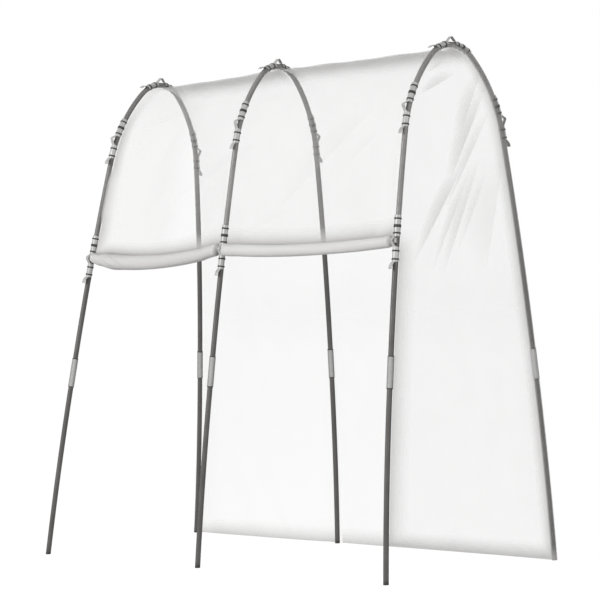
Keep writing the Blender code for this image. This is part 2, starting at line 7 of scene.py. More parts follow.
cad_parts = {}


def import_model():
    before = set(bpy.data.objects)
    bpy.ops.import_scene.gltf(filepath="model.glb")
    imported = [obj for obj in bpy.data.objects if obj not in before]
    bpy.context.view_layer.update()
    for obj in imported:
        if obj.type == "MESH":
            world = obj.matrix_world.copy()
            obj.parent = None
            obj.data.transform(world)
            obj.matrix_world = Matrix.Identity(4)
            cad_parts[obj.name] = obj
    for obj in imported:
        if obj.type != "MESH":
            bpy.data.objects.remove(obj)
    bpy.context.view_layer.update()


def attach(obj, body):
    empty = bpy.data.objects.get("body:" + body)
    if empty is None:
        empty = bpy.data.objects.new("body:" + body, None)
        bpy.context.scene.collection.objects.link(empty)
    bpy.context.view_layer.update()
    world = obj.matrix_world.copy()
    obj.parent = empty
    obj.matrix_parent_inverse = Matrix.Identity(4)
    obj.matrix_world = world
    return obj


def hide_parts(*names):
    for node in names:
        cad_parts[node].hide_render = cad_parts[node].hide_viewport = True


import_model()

# The looks of a tall tomato tunnel: three tube hoops under a clear film cover with a rolled front.
#
# Lengths are in metres. X runs along the tunnel, the open front faces -Y, and Z is up from the
# ground. A place on a hoop is its path length s from the crown: positive down the front, negative
# down the rear. Round the tube, n points away from the tunnel and b runs along the tunnel.
# Along the tunnel, u is the distance from the left hoop.

# The CAD's own measures: hoop outline, tubes, sleeves, foot plugs and film.
CROWN_RADIUS = 0.135
CROWN_TURN = radians(45)
SHOULDER_RADIUS = 0.480
SHOULDER_TURN = radians(35)
BOW_RADIUS = 11.7
TUBE_RADIUS = 0.0095
BORE_RADIUS = 0.0083
ARCH_LENGTH = 2.432
LEG_LENGTH = 0.688
SLEEVE_LENGTH = 0.110
SLEEVE_WALL = 0.0014
SLEEVE_STOP = 0.004
PLUG_HEAD = 0.009
GAP = 0.0003
FILM = 0.0006

# Places down a hoop.
SLEEVE_RADIUS = TUBE_RADIUS + GAP + SLEEVE_WALL
JOINT_AT = ARCH_LENGTH / 2 + GAP + SLEEVE_STOP / 2
LEG_START = JOINT_AT + SLEEVE_STOP / 2 + GAP
LEG_END = LEG_START + LEG_LENGTH
GROUND_AT = LEG_END + PLUG_HEAD
STRAIGHT_START = JOINT_AT - SLEEVE_LENGTH / 2

# Stretches of the outline from the crown down: length, and radius or None where it is straight.
CROWN_ARC = CROWN_RADIUS * CROWN_TURN
SHOULDER_ARC = SHOULDER_RADIUS * SHOULDER_TURN
STRETCHES = (
    (CROWN_ARC, CROWN_RADIUS),
    (SHOULDER_ARC, SHOULDER_RADIUS),
    (STRAIGHT_START - CROWN_ARC - SHOULDER_ARC, BOW_RADIUS),
    (SLEEVE_LENGTH, None),
    (1.0, BOW_RADIUS),
)

# How the hoops stand: station along X, lean along X and turn. The shift centres the object's box.
HOOPS = {
    "left": (-0.780, radians(8.7), radians(0.0)),
    "middle": (0.0, radians(3.3), radians(2.5)),
    "right": (0.942, radians(-1.2), radians(-8.3)),
}
ROW_SHIFT = Vector((-0.109516, -0.001366, 0.0))
BAYS = (("left", "middle"), ("middle", "right"))
BAY_LENGTHS = tuple(HOOPS[far][0] - HOOPS[near][0] for near, far in BAYS)

# Bay and share across it of each hoop, and the side of it, if any, that faces out of the tunnel.
HOOP_PLACES = {"left": (0, 0.0), "middle": (1, 0.0), "right": (1, 1.0)}
OUTER_SIDE = {"left": -1, "middle": 0, "right": 1}

# Clips: place of the hump along the hoop, and the way the arm points (1 is forward).
CLIPS = {
    "crown": (0.0, 1),
    "front_upper": (0.322, 1),
    "front_lower": (0.780, 1),
    "rear_upper": (-0.357, -1),
}

# One clip, measured along the tube from the free end of its grip. Its bore clears the corners of
# the CAD's film, which bends round a tube in steps of 45 degrees.
CORNER_COS = cos(radians(22.5))
BORE_CLEARANCE = 0.00035
CLIP_BORE = (TUBE_RADIUS + GAP) / CORNER_COS + FILM + BORE_CLEARANCE
CLIP_WALL = 0.0016
GRIP_LENGTH = 0.073
HUMP_AT = 0.088
HUMP_RISE = 0.028
HUMP_ROUND = 0.002
CHANNEL_START = 0.109
CHANNEL_END = 0.157
STRAP_WIDTH = 0.014
STRAP_THICKNESS = 0.0024
STRAP_RUN_IN = 0.004
TAB_LENGTH = 0.027
TAB_RISE = 0.0245
TAB_WIDTH = 0.016
TAB_CURVE = ((0.12, 0.08), (0.35, 0.48), (0.60, 0.88), (1.0, 1.0))
THIN_BAND = 0.0048
THICK_BAND = 0.0092
GRIP_BANDS = ((0.012, THIN_BAND), (0.037, THICK_BAND), (0.061, THIN_BAND))
ARM_BANDS = ((0.121, THIN_BAND), (0.149, THIN_BAND))


# Places on the hoops


def half_outline(length):
    """Distance from the middle, drop below the crown and slope, at path lengths down one side."""
    length = np.abs(np.asarray(length, float))
    out, drop, slope = np.zeros_like(length), np.zeros_like(length), np.zeros_like(length)
    begin = 0.0
    for span, radius in STRETCHES:
        step = np.clip(length - begin, 0.0, span)
        if radius is None:
            out = out + step * np.cos(slope)
            drop = drop + step * np.sin(slope)
        else:
            turned = slope + step / radius
            out = out + radius * (np.sin(turned) - np.sin(slope))
            drop = drop + radius * (np.cos(slope) - np.cos(turned))
            slope = turned
        begin += span
    return out, drop, slope


HOOP_HEIGHT = float(half_outline(GROUND_AT)[1])


def hoop_frame(hoop):
    station, lean, turn = HOOPS[hoop]
    place = Matrix.Translation(ROW_SHIFT + Vector((station, 0, 0)))
    return np.array(place @ Matrix.Rotation(turn, 4, "Z") @ Matrix.Rotation(lean, 4, "Y"))


HOOP_FRAMES = {hoop: hoop_frame(hoop) for hoop in HOOPS}


def from_hoop(hoop, local):
    """The object's coordinates of points in a hoop's own frame."""
    placing = HOOP_FRAMES[hoop]
    return local @ placing[:3, :3].T + placing[:3, 3]


def hoop_points(hoop, s, n=0.0, b=0.0):
    """Points by path length s, offset n away from the tunnel and distance b along it."""
    s, n, b = np.broadcast_arrays(np.asarray(s, float), n, b)
    out, drop, slope = half_outline(s)
    side = np.where(s >= 0, -1.0, 1.0)
    across, up = side * (out + n * np.sin(slope)), HOOP_HEIGHT - drop + n * np.cos(slope)
    return from_hoop(hoop, np.stack([b, across, up], -1))


def along_tunnel(bay, across):
    """Distance from the left hoop at a share of the way across a bay."""
    return sum(BAY_LENGTHS[:bay]) + across * BAY_LENGTHS[bay]


# Fades


def smooth_step(value, low, high):
    """0 up to low, 1 from high on, and a smooth rise between them."""
    t = np.clip((value - low) / (high - low), 0, 1)
    return t * t * (3 - 2 * t)


def fading(distance, length, power=1.0):
    """1 up to a distance of 0, then down to 0 at the length."""
    return np.clip(1 - distance / length, 0, 1) ** power


# Meshes


def grid_faces(rows, columns, wrap_columns=False, wrap_rows=False):
    i = np.arange(rows if wrap_rows else rows - 1)[:, None]
    j = np.arange(columns if wrap_columns else columns - 1)[None, :]
    below, beside = (i + 1) % rows, (j + 1) % columns
    corners = (i * columns + j, i * columns + beside, below * columns + beside, below * columns + j)
    return np.stack(np.broadcast_arrays(*corners), -1).reshape(-1, 4).tolist()


def capped_faces(rows, columns):
    """Faces of a body from closed rings, with a flat cap at both ends."""
    caps = [list(range(columns))[::-1], [(rows - 1) * columns + j for j in range(columns)]]
    return grid_faces(rows, columns, wrap_columns=True) + caps


def place_object(name, data):
    made = bpy.data.objects.new(name, data)
    bpy.context.scene.collection.objects.link(made)
    return made


def piece(name, points, faces, finish, body="frame", stands_for=(), slot=None):
    mesh = bpy.data.meshes.new(name)
    mesh.from_pydata(np.asarray(points).reshape(-1, 3).tolist(), [], faces)
    mesh.validate()
    mesh.shade_smooth()
    made = place_object(name, mesh)
    mesh.materials.append(finish)
    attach(made, body)
    if stands_for:
        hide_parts(*stands_for)
    return made


def set_values(made, name, values):
    layer = made.data.attributes.new(name, "FLOAT", "POINT")
    layer.data.foreach_set("value", np.asarray(values, np.float32).ravel())


def set_ring_values(made, name, values):
    """One value for each ring of a turned body."""
    set_values(made, name, np.repeat(values, len(made.data.vertices) // len(values)))


RING_SIDES = 32


def rings_round(hoop, s, radius):
    angle = np.linspace(0, 2 * pi, RING_SIDES, endpoint=False)
    s, radius = np.asarray(s, float)[:, None], np.asarray(radius, float)[:, None]
    return hoop_points(hoop, s, radius * np.cos(angle), radius * np.sin(angle))


def turned_body(name, hoop, s, radius, finish, **facts):
    """A hollow body from a closed profile of path lengths and radii."""
    rings = rings_round(hoop, s, radius)
    faces = grid_faces(*rings.shape[:2], wrap_columns=True, wrap_rows=True)
    return piece(name, rings, faces, finish, **facts)


# Materials


def new_material(name):
    """A material, its node tree and its main shader."""
    made = bpy.data.materials.new(name)
    made.use_nodes = True
    return made, made.node_tree, made.node_tree.nodes["Principled BSDF"]


def feed(node, inputs):
    """Links a node's inputs, by name or number, to other nodes' outputs, or sets their values."""
    for key, value in inputs.items():
        if isinstance(value, bpy.types.NodeSocket):
            node.id_data.links.new(value, node.inputs[key])
        else:
            node.inputs[key].default_value = value


def add(tree, kind, inputs=None, **settings):
    node = tree.nodes.new(kind)
    for key, value in settings.items():
        setattr(node, key, value)
    feed(node, inputs or {})
    return node


def attribute(tree, name):
    return add(tree, "ShaderNodeAttribute", attribute_name=name).outputs["Fac"]


def object_place(tree):
    return add(tree, "ShaderNodeTexCoord").outputs["Object"]


def noise(tree, scale, detail, stretch=None):
    """A noise value from the object's own coordinates."""
    place = object_place(tree)
    if stretch:
        place = add(tree, "ShaderNodeMapping", {"Vector": place, "Scale": stretch}).outputs["Vector"]
    inputs = {"Vector": place, "Scale": scale, "Detail": detail}
    return add(tree, "ShaderNodeTexNoise", inputs).outputs["Fac"]


def ramp(tree, source, stops):
    """Goes from one stop to the other as the source rises. A stop is a place, and a colour or a grey."""
    made = add(tree, "ShaderNodeValToRGB", {"Fac": source})
    for element, (at, value) in zip(made.color_ramp.elements, stops):
        element.position = at
        element.color = (*value, 1) if hasattr(value, "__len__") else (value, value, value, 1)
    return made.outputs["Color"]


def cloudy(tree, stops, scale, detail, stretch=None):
    """A ramp over noise."""
    return ramp(tree, noise(tree, scale, detail, stretch), stops)


def blend(tree, share, first, second):
    inputs = {"Fac": share, "Color1": first, "Color2": second}
    return add(tree, "ShaderNodeMixRGB", inputs).outputs["Color"]


def maths(tree, operation, *values, clamp=False):
    inputs = dict(enumerate(values))
    return add(tree, "ShaderNodeMath", inputs, operation=operation, use_clamp=clamp).outputs[0]


def bump(tree, source, strength, distance):
    inputs = {"Height": source, "Strength": strength, "Distance": distance}
    return add(tree, "ShaderNodeBump", inputs).outputs["Normal"]


def mix_shaders(tree, share, first, second):
    return add(tree, "ShaderNodeMixShader", {0: share, 1: first, 2: second}).outputs[0]


def set_surface(tree, shader):
    feed(tree.nodes["Material Output"], {"Surface": shader})


def coated_steel():
    """Dark grey powder coat with fine grain and faint cloudiness, paler by painted light under the film."""
    made, tree, shader = new_material("coated_steel")
    cloud = noise(tree, 14, 4)
    coat = ramp(tree, cloud, ((0.3, (0.060, 0.057, 0.055)), (0.7, (0.082, 0.078, 0.075))))
    # Painted light: a paler copy of the coat where the film lies over the tube.
    painted_lighter = ramp(tree, cloud, ((0.3, (0.130, 0.126, 0.123)), (0.7, (0.160, 0.155, 0.152))))
    feed(shader, {
        "Base Color": blend(tree, attribute(tree, "painted_light"), coat, painted_lighter),
        "Roughness": cloudy(tree, ((0.35, 0.42), (0.65, 0.56)), 60, 2),
        "Metallic": 0.15,
        "Specular IOR Level": 0.35,
        "Normal": bump(tree, noise(tree, 1400, 2), 0.25, 0.0002),
    })
    return made


def bright_steel():
    """Pale zinc with a faint spangle under a tinted coat, and painted shade where the rim attribute is set.
    """
    made, tree, shader = new_material("bright_steel")
    cells = add(tree, "ShaderNodeTexVoronoi", {"Vector": object_place(tree), "Scale": 260})
    zinc = ramp(tree, cells.outputs["Color"], ((0.2, (0.56, 0.56, 0.552)), (0.8, (0.64, 0.64, 0.631))))
    # Painted shade: a dark rim at each end of the sleeve.
    rim = cloudy(tree, ((0.3, (0.07, 0.068, 0.065)), (0.7, (0.11, 0.107, 0.103))), 300, 3)
    feed(shader, {
        "Base Color": blend(tree, attribute(tree, "rim"), zinc, rim),
        "Roughness": cloudy(tree, ((0.3, 0.36), (0.7, 0.5)), 90, 2),
        "Specular IOR Level": 0.15,
        "Coat Weight": 1.0,
        "Coat Roughness": 0.3,
        "Coat IOR": 1.06,
        "Coat Tint": (0.52, 0.52, 0.515, 1),
        "Normal": bump(tree, noise(tree, 700, 2, (1, 1, 0.2)), 0.15, 0.0002),
    })
    return made


def black_rubber(name):
    made, tree, shader = new_material(name)
    feed(shader, {
        "Base Color": cloudy(tree, ((0.3, (0.018, 0.017, 0.016)), (0.7, (0.04, 0.038, 0.036))), 200, 3),
        "Roughness": 0.62,
        "Specular IOR Level": 0.3,
        "Normal": bump(tree, noise(tree, 1800, 2), 0.3, 0.0002),
    })
    return made


def clip_plastic():
    """Pale grey moulded plastic, with flow marks and a soft gloss."""
    made, tree, shader = new_material("clip_plastic")
    greys = ((0.3, (0.26, 0.26, 0.255)), (0.7, (0.34, 0.34, 0.335)))
    feed(shader, {
        "Base Color": cloudy(tree, greys, 55, 4, (1, 1, 0.4)),
        "Roughness": cloudy(tree, ((0.3, 0.26), (0.7, 0.38)), 240, 2),
        "Subsurface Weight": 0.15,
        "Subsurface Radius": (0.004, 0.004, 0.004),
        "Normal": bump(tree, noise(tree, 900, 2), 0.08, 0.0002),
    })
    return made


# Film: the share of it that shows where it is clearest and where its painted shade is full, what its
# cloudiness adds to that, and its colours where it is single, wound, and in full painted shade.
FILM_LEAST, FILM_MOST = 0.16, 0.93
FILM_CLOUD = 0.05
FILM_SINGLE = (0.68, 0.68, 0.673)
FILM_WOUND = (0.75, 0.746, 0.736)
FILM_FULL_SHADE = (0.42, 0.413, 0.406)
FILM_THROUGH = 0.5


def clear_film():
    """Film: clear where taut, denser and greyer by the painted shade attribute, solid by the wound one."""
    made, tree, shader = new_material("clear_film")
    shade, wound = attribute(tree, "shade"), attribute(tree, "wound")
    # The shade attribute is painted shade: it makes the film denser and greyer.
    density = maths(tree, "MULTIPLY_ADD", shade, FILM_MOST - FILM_LEAST, FILM_LEAST)
    haze = maths(tree, "MULTIPLY_ADD", noise(tree, 9, 5), FILM_CLOUD, density, clamp=True)
    single = ramp(tree, shade, ((0.0, FILM_SINGLE), (1.0, FILM_FULL_SHADE)))
    layered = ramp(tree, shade, ((0.0, FILM_WOUND), (1.0, FILM_FULL_SHADE)))
    colour = blend(tree, wound, single, layered)
    feed(shader, {
        "Base Color": colour,
        "Roughness": 0.42,
        "Specular IOR Level": 0.22,
        "Normal": bump(tree, noise(tree, 9, 1), 0.06, 0.004),
    })
    through = add(tree, "ShaderNodeBsdfTranslucent", {"Color": colour}).outputs[0]
    lit = mix_shaders(tree, FILM_THROUGH, shader.outputs[0], through)
    clear = add(tree, "ShaderNodeBsdfTransparent").outputs[0]
    set_surface(tree, mix_shaders(tree, maths(tree, "MAXIMUM", haze, wound), clear, lit))
    return made


STEEL = coated_steel()
ZINC = bright_steel()
PLUG = black_rubber("plug_rubber")
BAND = black_rubber("band_rubber")
PLASTIC = clip_plastic()
SHEET = clear_film()


# Frame pieces

TUBE_SPACING = 0.012
TUBE_BEVEL = 0.0004

# Path lengths between which the painted light on the tubes, which makes them paler where the film
# lies over them, fades in and out. Down the left hoop's front it is weaker.
PAINTED_LIGHT_REAR = (-0.90, -0.10)
PAINTED_LIGHT_FRONT = (0.72, 0.76)
LEFT_WEAKER = (0.0, 0.25)
LEFT_LOSS = 0.7

# A sleeve's rounded ends: distance from the end, and how far below the surface. Then its mouth's
# bevel, the width of the dark rim of painted shade at each end, and the length over which it fades.
SLEEVE_ROUNDING = ((0.0, 0.0006), (0.0002, 0.0002), (0.0008, 0.0))
MOUTH_LENGTH, MOUTH_DEPTH = 0.0004, 0.0002
SLEEVE_SHADE_RIM = 0.0028
RIM_SHADE_FADE = 0.0006

# A foot plug's nose: distance up from the leg's end, and how far below the stem's surface. Then
# the bevel of its head, and the ring of points above the ground.
PLUG_NOSE = ((0.022, 0.0014), (0.0214, 0.0008), (0.011, 0.0))
PLUG_BEVEL = 0.0006
PLUG_LAST_RING = 0.003


def tube(name, hoop, start, end):
    s = np.linspace(start, end, int(abs(end - start) / TUBE_SPACING) + 1)
    bevel = TUBE_BEVEL * np.sign(end - start)
    along = np.concatenate([[s[0]], [s[0] + bevel], s[1:-1], [s[-1] - bevel], [s[-1]], s[::-1]])
    rim, full, bore = [TUBE_RADIUS - TUBE_BEVEL], np.full(len(s), TUBE_RADIUS), np.full(len(s), BORE_RADIUS)
    radius = np.concatenate([rim, full, rim, bore])
    made = turned_body(name + "_steel", hoop, along, radius, STEEL, stands_for=[name], slot="tube_grey")
    # Painted light: the arch is paler where the film lies over it.
    painted_light = smooth_step(along, *PAINTED_LIGHT_REAR) * (1 - smooth_step(along, *PAINTED_LIGHT_FRONT))
    if hoop == "left":
        painted_light = painted_light * (1 - LEFT_LOSS * smooth_step(along, *LEFT_WEAKER))
    set_ring_values(made, "painted_light", painted_light)
    return made


def sleeve(name, hoop, side):
    half, stop, inner = SLEEVE_LENGTH / 2, SLEEVE_STOP / 2, TUBE_RADIUS + GAP
    outside = [(-half + at, SLEEVE_RADIUS - below) for at, below in SLEEVE_ROUNDING]
    outside += [(-half + SLEEVE_SHADE_RIM, SLEEVE_RADIUS), (-half + SLEEVE_SHADE_RIM + RIM_SHADE_FADE, SLEEVE_RADIUS)]
    mirrored = [(-along, radius) for along, radius in outside[::-1]]
    profile = [(-half, inner + MOUTH_DEPTH), *outside, *mirrored,
               (half, inner + MOUTH_DEPTH), (half - MOUTH_LENGTH, inner), (stop, inner),
               (stop, BORE_RADIUS), (-stop, BORE_RADIUS), (-stop, inner), (-half + MOUTH_LENGTH, inner)]
    along, radius = np.array(profile).T
    made = turned_body(name + "_zinc", hoop, side * (JOINT_AT + along), radius, ZINC,
                       stands_for=[name], slot="sleeve_grey")
    # The rim attribute paints a dark shade at both ends.
    set_ring_values(made, "rim", np.abs(along) >= half - SLEEVE_SHADE_RIM - 1e-6)
    return made


def foot_plug(name, hoop, side):
    stem = BORE_RADIUS - GAP
    profile = [(LEG_END - up, stem - below) for up, below in PLUG_NOSE]
    profile += [(LEG_END + GAP, stem), (LEG_END + GAP, TUBE_RADIUS - PLUG_BEVEL),
                (LEG_END + GAP + PLUG_BEVEL, TUBE_RADIUS), (GROUND_AT - PLUG_LAST_RING, TUBE_RADIUS)]
    along, radius = np.array(profile).T
    rings = rings_round(hoop, side * along, radius)
    # The last ring is slid along the leg to the ground, where the plug is cut level.
    low = rings_round(hoop, [side * GROUND_AT], [TUBE_RADIUS])
    axis = low.mean(1)[0] - rings[-1].mean(0)
    low -= axis * (low[..., 2:] / axis[2])
    rings = np.concatenate([rings, low])
    return piece(name + "_rubber", rings, capped_faces(*rings.shape[:2]), PLUG,
                 stands_for=[name], slot="plug_black")


# Clips

# Points across a moulded strip, as shares of its half width, and the share from which its edges
# are rounded.
ACROSS = np.sin(np.linspace(-pi / 2, pi / 2, 19))
ROUNDED_FROM = 0.86

# Points along a moulding: close together at its ends, over which it is rounded, and then spaced
# out. The ends keep this share of their thickness, squared.
END_STATIONS = np.array([0.0, 0.00012, 0.0003, 0.0006, 0.0009])
END_ROUNDING = 0.0009
END_ZONE = 0.0016
END_LEAST = 0.02
GRIP_SPACING = 0.0011
ARM_SPACING = 0.0008

# The arm's middle line is smoothed over this many of its samples. Beyond the channel it goes flat
# and then widens to the tab.
ARM_SAMPLES = 900
ARM_SMOOTHING = 27
TAB_FLAT = 0.0035
TAB_WIDENING = 0.006

# Bands: how far they reach round the tube, between which angles they come down from the clip to
# it, how far their middle lies above the clip and the tube, and half their thickness.
BAND_REACH = radians(156)
BAND_HUG = (radians(91), radians(122))
BAND_OVER_CLIP = 0.00055
BAND_OVER_TUBE = 0.0013
BAND_HALF = 0.00065
BAND_MARGIN = 0.0003
BAND_ROWS = 49
BAND_SIDES = 12


def clip_points(hoop, place, along, n, b):
    hump, way = CLIPS[place]
    return hoop_points(hoop, hump + way * (np.asarray(along) - HUMP_AT), n, b)


def end_swell(along):
    """Share of a moulding's thickness, which is less at both of its rounded ends."""
    near = np.clip(np.minimum(along - along[0], along[-1] - along) / END_ROUNDING, 0, 1)
    return np.sqrt(np.maximum(END_LEAST, 1 - (1 - near) ** 2))


def stations(start, end, spacing):
    inner = np.linspace(start + END_ZONE, end - END_ZONE, int((end - start) / spacing))
    return np.concatenate([start + END_STATIONS, inner, end - END_STATIONS[::-1]])


def moulding(name, hoop, place, along, middle, arc, width, **facts):
    """A moulded strip with rounded edges that is flat where arc is 0 and half-round where it is 1."""
    q = np.concatenate([ACROSS, ACROSS[-2:0:-1]])[None, :]
    face = np.concatenate([np.ones(len(ACROSS)), -np.ones(len(ACROSS) - 2)])[None, :]
    profiles = np.broadcast_arrays(along, middle, arc, width, end_swell(along))
    along, middle, arc, width, swell = (profile[:, None] for profile in profiles)
    slope = np.gradient(middle[:, 0], along[:, 0])[:, None] * (1 - arc)
    tilt = np.arctan(slope)
    half = (STRAP_THICKNESS * (1 - arc) + CLIP_WALL * arc) / 2 * swell
    edge = np.clip((np.abs(q) - ROUNDED_FROM) / (1 - ROUNDED_FROM), 0, 1)
    half = half * np.sqrt(np.maximum(0, 1 - edge ** 2)) * face
    radius = CLIP_BORE + CLIP_WALL / 2 + half
    angle = q * pi / 2
    n = (middle + half * np.cos(tilt)) * (1 - arc) + radius * np.cos(angle) * arc
    b = q * width / 2 * (1 - arc) + radius * np.sin(angle) * arc
    rings = clip_points(hoop, place, along - half * np.sin(tilt) * (1 - arc), n, b)
    return piece(name, rings, capped_faces(*rings.shape[:2]), PLASTIC, **facts)


def clip_grip(hoop, place):
    name = f"{hoop}_{place}_clip_grip"
    along = stations(0.0, GRIP_LENGTH, GRIP_SPACING)
    return moulding(name + "_moulding", hoop, place, along, CLIP_BORE + CLIP_WALL / 2, 1.0, STRAP_WIDTH,
                    stands_for=[name], slot="clip_grey")


def clip_arm(hoop, place):
    name = f"{hoop}_{place}_clip_arm"
    along = stations(GRIP_LENGTH + GAP, CHANNEL_END + TAB_LENGTH, ARM_SPACING)
    low, high = CLIP_BORE + STRAP_THICKNESS / 2, HUMP_RISE - STRAP_THICKNESS / 2
    top = TAB_RISE - STRAP_THICKNESS / 2
    knots = [(GRIP_LENGTH, low), (HUMP_AT - HUMP_ROUND, high), (HUMP_AT + HUMP_ROUND, high),
             (CHANNEL_START - STRAP_RUN_IN, low), (CHANNEL_END, low)]
    knots += [(CHANNEL_END + share * TAB_LENGTH, low + lift * (top - low)) for share, lift in TAB_CURVE]
    at, height = np.array(knots).T
    fine = np.linspace(at[0], at[-1], ARM_SAMPLES)
    padded = np.pad(np.interp(fine, at, height), ARM_SMOOTHING // 2, mode="edge")
    kernel = np.hanning(ARM_SMOOTHING)
    middle = np.interp(along, fine, np.convolve(padded, kernel / kernel.sum(), mode="valid"))
    arc = smooth_step(along, CHANNEL_START - STRAP_RUN_IN, CHANNEL_START)
    arc = arc * (1 - smooth_step(along, CHANNEL_END, CHANNEL_END + TAB_FLAT))
    widening = smooth_step(along, CHANNEL_END, CHANNEL_END + TAB_WIDENING)
    width = STRAP_WIDTH + (TAB_WIDTH - STRAP_WIDTH) * widening
    return moulding(name + "_moulding", hoop, place, along, middle, arc, width,
                    body=f"{hoop}_{place}_arm", stands_for=[name], slot="clip_grey")


def squarish(wave, power):
    """A sine or cosine with fuller corners."""
    return np.sign(wave) * np.abs(wave) ** power


def bands(name, hoop, place, places, body):
    """Black snap bands over the clip, whose ends reach on round the tube."""
    angle = np.linspace(-BAND_REACH, BAND_REACH, BAND_ROWS)[:, None]
    turn = np.linspace(0, 2 * pi, BAND_SIDES, endpoint=False)[None, :]
    round_ends = np.sqrt(np.maximum(0.05, 1 - np.linspace(-1, 1, BAND_ROWS)[:, None] ** 30))
    hug = smooth_step(np.abs(angle), *BAND_HUG)
    over_clip, over_tube = CLIP_BORE + CLIP_WALL + BAND_OVER_CLIP, TUBE_RADIUS + BAND_OVER_TUBE
    radius = over_clip * (1 - hug) + over_tube * hug + BAND_HALF * squarish(np.sin(turn), 0.7) * round_ends
    n, b = radius * np.cos(angle), radius * np.sin(angle)
    points, faces = [], []
    for middle, width in places:
        across = (width / 2 + BAND_MARGIN) * squarish(np.cos(turn), 0.5)
        rings = clip_points(hoop, place, middle + across * round_ends, n, b)
        base = len(points) * BAND_ROWS * BAND_SIDES
        faces += [[index + base for index in face] for face in capped_faces(BAND_ROWS, BAND_SIDES)]
        points.append(rings.reshape(-1, 3))
    return piece(name, np.concatenate(points), faces, BAND, body=body, slot="plug_black")


# Film

# The cover: the sag between two hoops, which is less at the hems; how far its lip lies below the
# middle of a tube; its left hem's overhang; its least height above the ground.
FILM_SAG = 0.016
HEM_SAG_SHARE = 0.35
LIP_DROP = 0.0012
HEM_OVERHANG = 0.015
HEM_FROM = TUBE_RADIUS + 0.0012
LOWEST_FILM = 0.0008 + FILM / 2

# Distances from a hoop over which the film goes from square to it to straight between hoops.
FLARE_NEAR = 0.018
FLARE_FAR = 0.096

# Distances from the clips between which their hold on the film fades out, and the path length
# over which the film rises to the sleeves.
PINCH_HOLD = 0.029
PINCH_END = 0.099
SLEEVE_APPROACH = 0.350

# The dip of the ridge: distances from a hoop over which it deepens and then weakens, what it
# loses by that, and distances down from the ridge over which it ends.
CROWN_DIP = 0.016
DIP_DEEPENS = (TUBE_RADIUS, 0.034)
DIP_WEAKENS = (0.10, 0.35)
DIP_LOSS = 0.4
DIP_ENDS = (0.04, 0.28)

# The roll: full radius at each hoop, sag in each bay, half height and half depth of its neck
# under a clip, and how it swells from there. At its left end it is more slender.
ROLL_RADII = {"left": 0.034, "middle": 0.0245, "right": 0.022}
ROLL_SAGS = (0.030, 0.016)
ROLL_NECK = (0.0085, 0.0038)
ROLL_NECK_LENGTH = 0.008
ROLL_SWELL_LENGTH = 0.013
ROLL_END_TAPER = 0.44
ROLL_END_LENGTH = 0.170

# The wound part of the film: the angle where it begins, its turns, and how much each turn shrinks.
WOUND_FROM = radians(200)
WOUND_TURNS = 4.25
WOUND_TIGHTENING = 0.14
WOUND_ROWS_PER_TURN = 40

# Its folds run round it once over the first length. Twisted creases lie at a place near its left
# end, over a length and with a pitch.
FOLD_PITCH = 0.52
TWIST_AT = 0.16
TWIST_LENGTH = 0.075
TWIST_PITCH = 0.085

# Path length from which the front film leaves the hoops' surface for the top of the roll.
LEAVES_HOOPS_AT = 0.45

# Lines of the film: over each tube, and in a bay by their distances from its hoops.
TUBE_LINES = np.linspace(-pi / 2, pi / 2, 11)
NEAR_LINES = np.array([0.0125, 0.015, 0.018, 0.021, 0.024, 0.028, 0.032, 0.038, 0.045, 0.054,
                       0.068, 0.082, 0.096, 0.112])
MIDDLE_FROM = 0.122
MIDDLE_LINES = 110

# Creases of the front film: u and path length of one end and of the other, width and height.
FRONT_CREASES = (
    (0.43, 0.590, 0.94, 0.395, 0.016, 0.0030),
    (1.05, 0.660, 1.55, 0.310, 0.030, 0.0050),
    (1.43, 0.500, 1.60, 0.390, 0.012, 0.0025),
    (0.86, 0.740, 1.18, 0.640, 0.012, 0.0022),
    (0.10, 0.290, 0.62, 0.220, 0.012, 0.0020),
    (0.80, 0.255, 1.05, 0.230, 0.012, 0.0018),
)
FRONT_CREASE_EDGE = 0.006
FRONT_CREASE_SHADE = 0.15

# Height from which a crease has its full painted shade on one side.
FULL_CREASE_SHADE = 0.006

# Film drawn tight over a tube is clearer than the rest.
TAUT_SHADE = {"left": -0.12, "middle": -0.06, "right": -0.12}
LEAST_SHADE = -0.12


def clip_pinch(s):
    """How far the film is drawn down beside a tube: 1 from clip to clip over the crown."""
    held = CHANNEL_END - HUMP_AT
    rear = -s + CLIPS["rear_upper"][0] - held
    upper = s - CLIPS["front_upper"][0] - held
    lower = np.maximum(0.0, CLIPS["front_lower"][0] - HUMP_AT - s)
    away = np.where(s < 0, rear, np.minimum(upper, lower))
    return smooth_step(-away, -PINCH_END, -PINCH_HOLD)


def film_reach(s):
    """Distance from a tube's middle to the film's, which grows towards the sleeve."""
    near = fading(STRAIGHT_START - np.abs(s), SLEEVE_APPROACH)
    return TUBE_RADIUS + (SLEEVE_RADIUS - TUBE_RADIUS) * near + GAP + FILM / 2


def skin_points(bay, across, s, n):
    """Points between two hoops, square to a hoop close to it and straight between them."""
    near, far = BAYS[bay]
    between = hoop_points(near, s, n) * (1 - across) + hoop_points(far, s, n) * across
    from_near, from_far = across * BAY_LENGTHS[bay], (1 - across) * BAY_LENGTHS[bay]
    away = min(from_near, from_far)
    if away >= FLARE_FAR:
        return between
    hoop, b = (near, from_near) if from_near < from_far else (far, -from_far)
    share = max(0.0, (away - FLARE_NEAR) / (FLARE_FAR - FLARE_NEAR))
    return hoop_points(hoop, s, n, b) * (1 - share) + between * share


